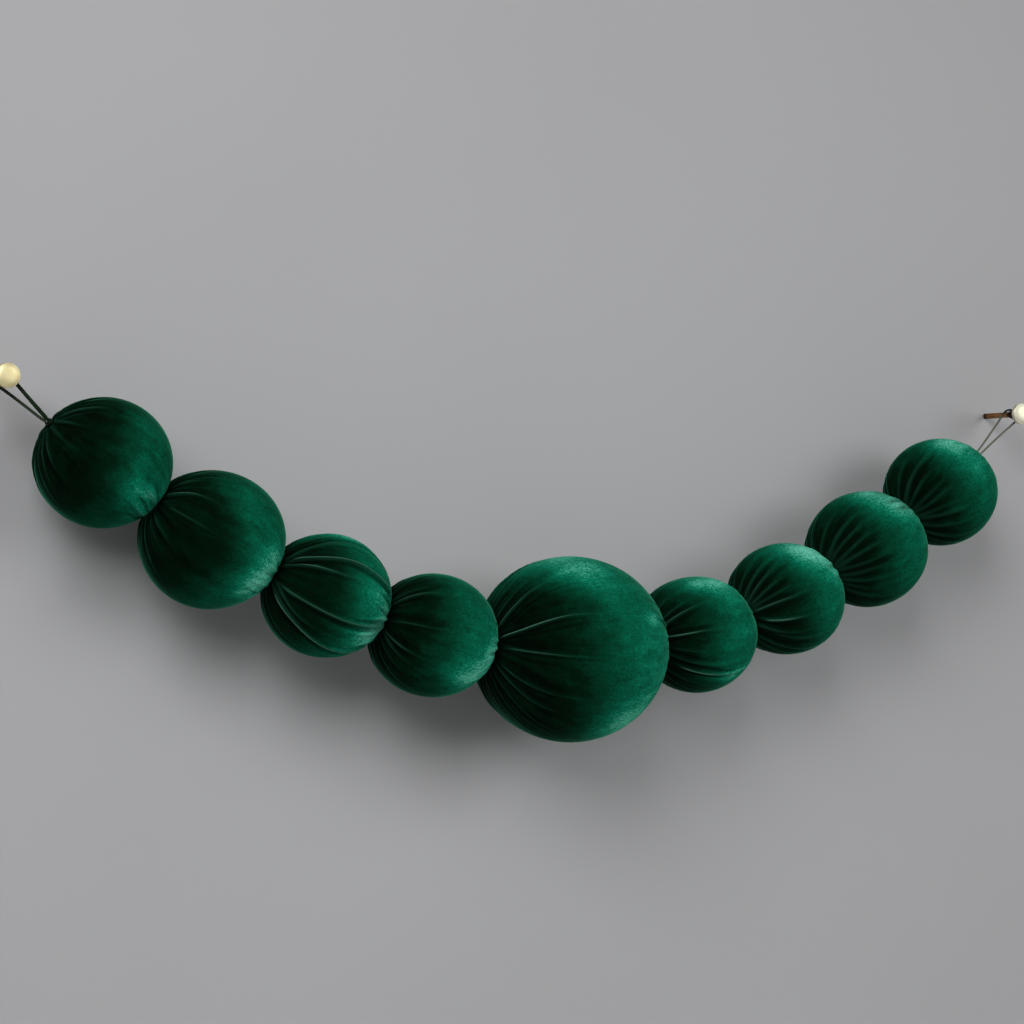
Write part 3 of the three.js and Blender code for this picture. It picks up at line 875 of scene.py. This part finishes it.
# Paler patches of painted sheen, partly brushed pile: where each is, how far it reaches both ways, and how
# much paler it is
PATCH_COLUMNS = ["polar", "turn", "long", "wide", "gain"]
SHEEN_PATCHES = [table(PATCH_COLUMNS, rows) for rows in (
    [[128, -18, 24, 16, 0.32], [146, -42, 16, 14, 0.26], [150, 2, 14, 14, 0.20]],
    [[140, -6, 22, 24, 0.42], [132, -38, 22, 18, 0.40], [148, -60, 16, 14, 0.26]],
    [[124, -40, 24, 18, 0.34], [142, -16, 20, 26, 0.30], [118, 10, 24, 18, 0.13],
     [64, 80, 36, 14, 0.36]],
    [[112, -40, 24, 20, 0.41], [136, -10, 20, 26, 0.36], [80, 84, 34, 12, 0.26]],
    [[76, 62, 24, 20, 0.34], [104, -52, 20, 18, 0.40], [119, 20, 9, 5, 0.30],
     [84, 88, 34, 12, 0.22], [124, -20, 22, 30, 0.12]],
    [[108, 64, 28, 22, 0.38], [82, 66, 12, 10, 0.14], [94, -47, 20, 8, 0.28]],
    [[114, 56, 28, 24, 0.56], [136, 28, 18, 28, 0.30]],
    [[114, 74, 26, 16, 0.38], [108, 46, 26, 20, 0.26], [134, 36, 20, 24, 0.38]],
    [[120, 62, 28, 22, 0.50], [116, 22, 22, 20, 0.16]],
)]


def turn_between(a, b):
    """The angle from b to a the short way round, in degrees."""
    return (a - b + 180.0) % 360.0 - 180.0


def turned_between(start, end, share):
    """The unit directions at each share of the way from one direction to another."""
    angle = math.acos(np.clip(np.dot(start, end), -1.0, 1.0))
    from_start = np.sin((1 - share) * angle)[:, None] * start
    from_end = np.sin(share * angle)[:, None] * end
    return (from_start + from_end) / math.sin(angle)


def ball_poles(index):
    """The directions of a ball's two poles, as if it were round."""
    def towards(other):
        return unit((centre_of(BALLS[other]) - centre_of(BALLS[index])) / widened(np.ones(3)))
    left = towards(index - 1) if index > 0 else LEFT_EXIT
    right = towards(index + 1) if index + 1 < len(BALLS) else RIGHT_EXIT
    return left, right


def reach(ball, direction):
    """How far a ball goes in a direction where nothing presses it."""
    return ball["height"] / 2 * np.linalg.norm(widened(direction))


def pressed_faces(index):
    """The flat faces that a ball is pressed against, as a direction and how far out the face is."""
    ball = BALLS[index]
    faces = [(np.array([0.0, 1.0, 0.0]), ball["out"] - WALL_GAP)]
    for other in (index - 1, index + 1):
        if 0 <= other < len(BALLS):
            apart = centre_of(BALLS[other]) - centre_of(ball)
            normal = unit(apart)
            own = reach(ball, normal)
            share = own / (own + reach(BALLS[other], normal))
            faces.append((normal, np.linalg.norm(apart) * share - TOUCH_GAP / 2))
    return faces


def press(offset, faces):
    """Points moved back behind each face, rounded where they meet it."""
    for normal, limit in faces:
        past = offset @ normal
        held = limit - SOFT_PRESS * np.logaddexp(0.0, (limit - past) / SOFT_PRESS)
        offset = offset + (held - past)[..., None] * normal
    return offset


def random_gathers(random):
    """Small gathers all round both poles, and plain folds on the back, which the photo doesn't show."""
    gathers = []
    for pole, reaches in enumerate(GATHER_REACHES):
        count = random.integers(*GATHER_COUNT)
        start = random.uniform(0, 360)
        for number in range(count):
            jitter = random.uniform(-GATHER_JITTER, GATHER_JITTER)
            turn = start + 360 * (number + jitter) / count
            far = random.uniform(*reaches)
            ends = (GATHER_START, far) if pole == 0 else (180 - far, 180 - GATHER_START)
            bend = random.uniform(-GATHER_BEND, GATHER_BEND)
            gathers.append({
                "start": turn, "middle": turn + bend / 2, "end": turn + bend,
                "from": ends[0], "to": ends[1], "rise": random.uniform(*GATHER_RISE),
            })
    for turn in BACK_TURNS:
        at_left = random.uniform(0, 1) < 0.5
        middle = random.uniform(*BACK_MIDDLE)
        ends = (BACK_START, middle) if at_left else (middle - BACK_PAST, 180 - BACK_START)
        lean = random.uniform(-BACK_LEAN, BACK_LEAN)
        gathers.append({
            "start": turn + lean, "middle": turn, "end": turn - lean,
            "from": ends[0], "to": ends[1], "rise": random.uniform(*BACK_RISE),
        })
    return gathers


def fold_line(fold, polar):
    """The turn of a fold at each polar angle, bent through its start, middle and end."""
    share = np.clip((polar - fold["from"]) / (fold["to"] - fold["from"]), 0.0, 1.0)
    first = (1 - share) * (1 - 2 * share)
    second = 4 * share * (1 - share)
    third = share * (2 * share - 1)
    return first * fold["start"] + second * fold["middle"] + third * fold["end"]


def hump(across, width):
    return np.exp(-(across / width) ** 2)


def fold_strength(fold, polar):
    """How strong a fold is along its length: firm near a pole, and dying away slowly elsewhere."""
    length = fold["to"] - fold["from"]
    into = SHORT_FADE if fold["from"] < NEAR_POLE else LONG_FADE
    out = SHORT_FADE if fold["to"] > 180 - NEAR_POLE else LONG_FADE
    if into + out > 1:
        into = out = 0.5
    rising = smoothstep(polar, fold["from"], fold["from"] + into * length)
    falling = 1 - smoothstep(polar, fold["to"] - out * length, fold["to"])
    return rising * falling


def folded(ball, width, folds, polar, turn, random):
    """The folds' crests and troughs in millimetres, which also set the painted highlights and painted shade,
    and the painted highlight lines on the crests.
    """
    crest = np.zeros_like(turn)
    trough = np.zeros_like(turn)
    line = np.zeros_like(turn)
    girth = ball["height"] / 2 * np.maximum(np.sin(np.radians(polar)), NARROWEST)[:, None]
    for fold in folds:
        waves = np.radians(polar * random.uniform(*WAVER_COUNT))
        middle = fold_line(fold, polar) + WAVER * np.sin(waves + random.uniform(0, 2 * math.pi))
        across = np.radians(turn_between(turn, middle[:, None])) * girth
        strength = fold_strength(fold, polar)[:, None] * abs(fold["rise"])
        if fold["rise"] < 0:
            trough += strength * hump(across, width * CREASE_WIDTH)
            continue
        below = hump(across + TROUGH_OFFSET * width, TROUGH_WIDTH * width)
        above = hump(across - TROUGH_OFFSET * width, TROUGH_WIDTH * width)
        crest += strength * hump(across, width)
        trough += strength * (TROUGH_DEPTH * below + UPPER_TROUGH_DEPTH * above)
        line = np.maximum(line, strength * hump(across - LINE_OFFSET * width, LINE_WIDTH * width))
    return crest, trough, line


def gentle_noise(random, polar, turn):
    """A smooth unevenness made of a few broad waves, about -1 to 1."""
    total = np.zeros_like(turn)
    for _ in range(WAVES):
        rings = random.integers(*WAVE_RINGS)
        sides = random.integers(*WAVE_SIDES)
        phases = random.uniform(0, 2 * math.pi, 2)
        along = np.sin(np.radians(polar) * rings + phases[0])[:, None]
        wave = along * np.cos(np.radians(turn) * sides + phases[1])
        total += wave * np.sin(np.radians(polar))[:, None] * random.uniform(*WAVE_HEIGHT)
    return total


def pile_shade_and_sheen_of(index, polar, turn, stir):
    """The painted shade and sheen of the pile at each place: painted shade towards the left pole, with
    painted sheen patches.
    """
    tone = TONES[index]
    edges = [EDGE_BELOW, tone["low"], tone["middle"], tone["high"], tone["top"]]
    edge = np.interp(turn_between(turn, 0), EDGE_TURNS, edges) + EDGE_STIR * stir
    lit = smoothstep(polar[:, None] - edge, -EDGE_WIDTH, EDGE_WIDTH)
    nap = tone["dark"] + (tone["lit"] - tone["dark"]) * lit
    for patch in SHEEN_PATCHES[index]:
        far = ((polar[:, None] - patch["polar"]) / patch["long"]) ** 2
        far = far + (turn_between(turn, patch["turn"]) / patch["wide"]) ** 2
        nap = nap + patch["gain"] * np.exp(-far)
    return nap


def ball_grid(ball):
    """The polar angle of each ring of a ball's skin, and the turn of each point."""
    rings, columns = BIG_BALL_GRID if ball["height"] > BIG_BALL_HEIGHT else BALL_GRID
    share = np.arange(1, rings) / rings
    polar = 180.0 * (share - POLE_CROWDING * np.sin(2 * math.pi * share))
    side = np.arange(columns) / columns
    turn = 360.0 * side - FRONT_CROWDING * np.sin(2 * math.pi * side)
    return polar, np.broadcast_to(turn, (rings - 1, columns))


def skin_directions(index, polar, turn):
    """Each point's direction from the middle of a round ball, whose string bends there."""
    angle = np.radians(polar)
    left, right = ball_poles(index)
    axis = turned_between(-left, right, (1 - np.cos(angle)) / 2)
    outward = np.array([0.0, -1.0, 0.0])
    front = outward - axis * (axis @ outward)[:, None]
    front = front / np.linalg.norm(front, axis=1)[:, None]
    top = np.cross(front, axis)
    turn = np.radians(turn)[:, :, None]
    round_string = np.cos(turn) * front[:, None, :] + np.sin(turn) * top[:, None, :]
    return -np.cos(angle)[:, None, None] * axis[:, None, :] + np.sin(angle)[:, None, None] * round_string


def noise_places(index, polar, turn):
    """Where each point is in the pile's noise and in the noise of the gathered streaks."""
    half = BALLS[index]["height"] / 2
    polar = polar[:, None] + 0 * turn
    front = np.cos(np.radians(turn))
    top = np.sin(np.radians(turn))
    along = -np.cos(np.radians(polar)) * PILE_SQUEEZE
    girth = np.sin(np.radians(polar))
    pile = np.stack([along * half, girth * front * half, girth * top * half], axis=-1)
    streaks = np.stack([GATHER_CELLS * front, GATHER_CELLS * top, polar * GATHER_LENGTH], axis=-1)
    return pile + PILE_STEP * index, streaks + GATHER_STEP * index


def with_poles(values):
    """The values at a skin's points, with the mean of the nearest ring at each pole."""
    first = values[0].mean(axis=0, keepdims=True)
    last = values[-1].mean(axis=0, keepdims=True)
    return np.concatenate([first, values.reshape(-1, *values.shape[2:]), last])


def make_ball(index):
    ball = BALLS[index]
    tone = TONES[index]
    random = np.random.default_rng(SEED + index)
    polar, turn = ball_grid(ball)
    stir = gentle_noise(random, polar, turn)
    folds = FOLDS[index] + random_gathers(random)
    crest, trough, line = folded(ball, tone["fold"], folds, polar, turn, random)
    from_pole = np.minimum(polar, 180 - polar) / POLE_WIDTH
    drawn_in = POLE_DEPTH * np.exp(-from_pole * from_pole)
    calm = 1 - CALM_SHARE * smoothstep(polar, CALM_START, CALM_END)
    relief = (crest - trough) * tone["depth"] * calm[:, None]
    radius = ball["height"] / 2 - drawn_in[:, None] + relief + STIR_DEPTH * stir
    offset = widened(skin_directions(index, polar, turn) * radius[:, :, None])
    poles = widened(np.stack(ball_poles(index)) * (ball["height"] / 2 - POLE_DEPTH))
    faces = pressed_faces(index)
    skin = press(offset.reshape(-1, 3), faces)
    ends = press(poles, faces)
    points = np.concatenate([ends[:1], skin, ends[1:]]) + centre_of(ball)
    corners, sizes = capped_faces(*turn.shape)
    corners = facing_out(points - centre_of(ball), corners, sizes)
    piece = make_object(f"velvet_ball_{index + 1}", points, corners, sizes, velvet)
    gathered = GATHER_LEAST + (1 - GATHER_LEAST) * np.abs(np.cos(np.radians(polar)))
    nap_place, gather_place = noise_places(index, polar, turn)
    # The pile's painted shade and sheen, and the folds' painted highlights and painted shade, for the
    # material to read
    attributes = {
        "nap": pile_shade_and_sheen_of(index, polar, turn, stir) + CREST_HIGHLIGHT * crest,
        "crest": crest,
        "trough": trough,
        "line": line * tone["line"],
        "gathered": GATHER_TONE * gathered[:, None] + 0 * turn,
        "nap_place": nap_place,
        "gather_place": gather_place,
    }
    set_attributes(piece, {name: with_poles(values) for name, values in attributes.items()})
    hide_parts(f"ball_{index + 1}")


for index in range(len(BALLS)):
    make_ball(index)


# The wall, the floor and the lights

def stage_plane(name, low, high, material):
    """A wall or a floor, from its left, front, lowest corner to its right, back, highest one."""
    (left, front, bottom), (right, back, top) = low, high
    corners = [(left, front, bottom), (right, front, bottom), (right, back, top), (left, back, top)]
    mesh = bpy.data.meshes.new(name)
    mesh.from_pydata(corners, [], [(0, 1, 2, 3)])
    mesh.materials.append(material)
    plane = bpy.data.objects.new(name, mesh)
    bpy.context.scene.collection.objects.link(plane)
    return plane


def paint_material(name, colour, one_sided=False):
    """Matte paint, a little uneven. One-sided paint is clear from behind."""
    shader = Shader(name)
    place = shader.add("ShaderNodeTexCoord").outputs["Object"]
    shade = shader.remap(shader.noise(place, *PAINT_NOISE), *PAINT_SHADE)
    tint = shader.add("ShaderNodeVectorMath", {0: colour, "Scale": shade}, operation="SCALE")
    paint = shader.add("ShaderNodeBsdfDiffuse", {"Color": tint.outputs[0]}).outputs[0]
    if one_sided:
        clear = shader.add("ShaderNodeBsdfTransparent").outputs[0]
        behind = shader.add("ShaderNodeNewGeometry").outputs["Backfacing"]
        paint = shader.add("ShaderNodeMixShader", {0: behind, 1: paint, 2: clear}).outputs[0]
    return shader.surface(paint)


# The paint and the room, in metres. The floor goes on behind the wall, for the views from there.
PAINT_SHADE = (0.3, 0.7, 0.985, 1.015)
WALL_COLOUR = (0.497, 0.498, 0.509)
FLOOR_COLOUR = (0.60, 0.60, 0.60)
WALL_LEFT = -1.9
WALL_RIGHT = 2.7
WALL_TOP = 1.7
WALL_BEHIND = 0.0006
FLOOR_HEIGHT = -0.62
FLOOR_FRONT = -2.4
FLOOR_BACK = 4.0

wall = stage_plane(
    "wall",
    (WALL_LEFT, WALL_BEHIND, FLOOR_HEIGHT),
    (WALL_RIGHT, WALL_BEHIND, WALL_TOP),
    paint_material("wall_paint", WALL_COLOUR, one_sided=True),
)
wall.visible_shadow = False
wall.visible_diffuse = False
wall.visible_glossy = False
stage_plane(
    "floor",
    (WALL_LEFT, FLOOR_FRONT, FLOOR_HEIGHT),
    (WALL_RIGHT, FLOOR_BACK, FLOOR_HEIGHT),
    paint_material("floor_paint", FLOOR_COLOUR),
)

# The lights, placed from the garland's middle, in metres, watts and degrees
GARLAND_MIDDLE = (0.39, -0.05, -0.10)
LIGHTS = table(["name", "direction", "distance", "size", "power", "beam"], [
    ["right", (0.58, -0.76, 0.24), 5.0, 3.0, 23.6, 90],
    ["left", (-0.60, -0.64, 0.48), 2.4, 1.45, 9.7, 90],
    ["right_edge", (0.94, -0.22, 0.28), 2.6, 1.2, 2.5, 180],
    ["back_left", (-0.65, 0.70, 0.35), 2.6, 1.4, 6.0, 180],
    ["back_right", (0.70, 0.62, 0.40), 2.6, 1.4, 6.0, 180],
])


def area_light(name, direction, distance, size, power, beam):
    """A square soft light, out from the garland's middle along a direction and aimed back at it."""
    data = bpy.data.lights.new(name, "AREA")
    data.shape = "SQUARE"
    data.size = size
    data.energy = power
    data.spread = math.radians(beam)
    light = bpy.data.objects.new(name, data)
    bpy.context.scene.collection.objects.link(light)
    away = Vector(direction).normalized()
    light.location = Vector(GARLAND_MIDDLE) + away * distance
    light.rotation_euler = away.to_track_quat("Z", "Y").to_euler()


for light in LIGHTS:
    area_light(**light)

# The world's white is fainter as light than as the camera sees it.
WORLD_LIGHTING = 0.08
WORLD_SEEN = 0.55


def make_world():
    world = bpy.data.worlds.new("studio")
    bpy.context.scene.world = world
    world.use_nodes = True
    tree = world.node_tree
    tree.nodes.clear()
    choose = tree.nodes.new("ShaderNodeMixShader")
    for index, strength in ((1, WORLD_LIGHTING), (2, WORLD_SEEN)):
        background = tree.nodes.new("ShaderNodeBackground")
        background.inputs["Color"].default_value = (1.0, 1.0, 1.0, 1.0)
        background.inputs["Strength"].default_value = strength
        tree.links.new(background.outputs[0], choose.inputs[index])
    ray = tree.nodes.new("ShaderNodeLightPath")
    output = tree.nodes.new("ShaderNodeOutputWorld")
    tree.links.new(ray.outputs["Is Camera Ray"], choose.inputs[0])
    tree.links.new(choose.outputs[0], output.inputs["Surface"])


make_world()

bpy.context.view_layer.update()
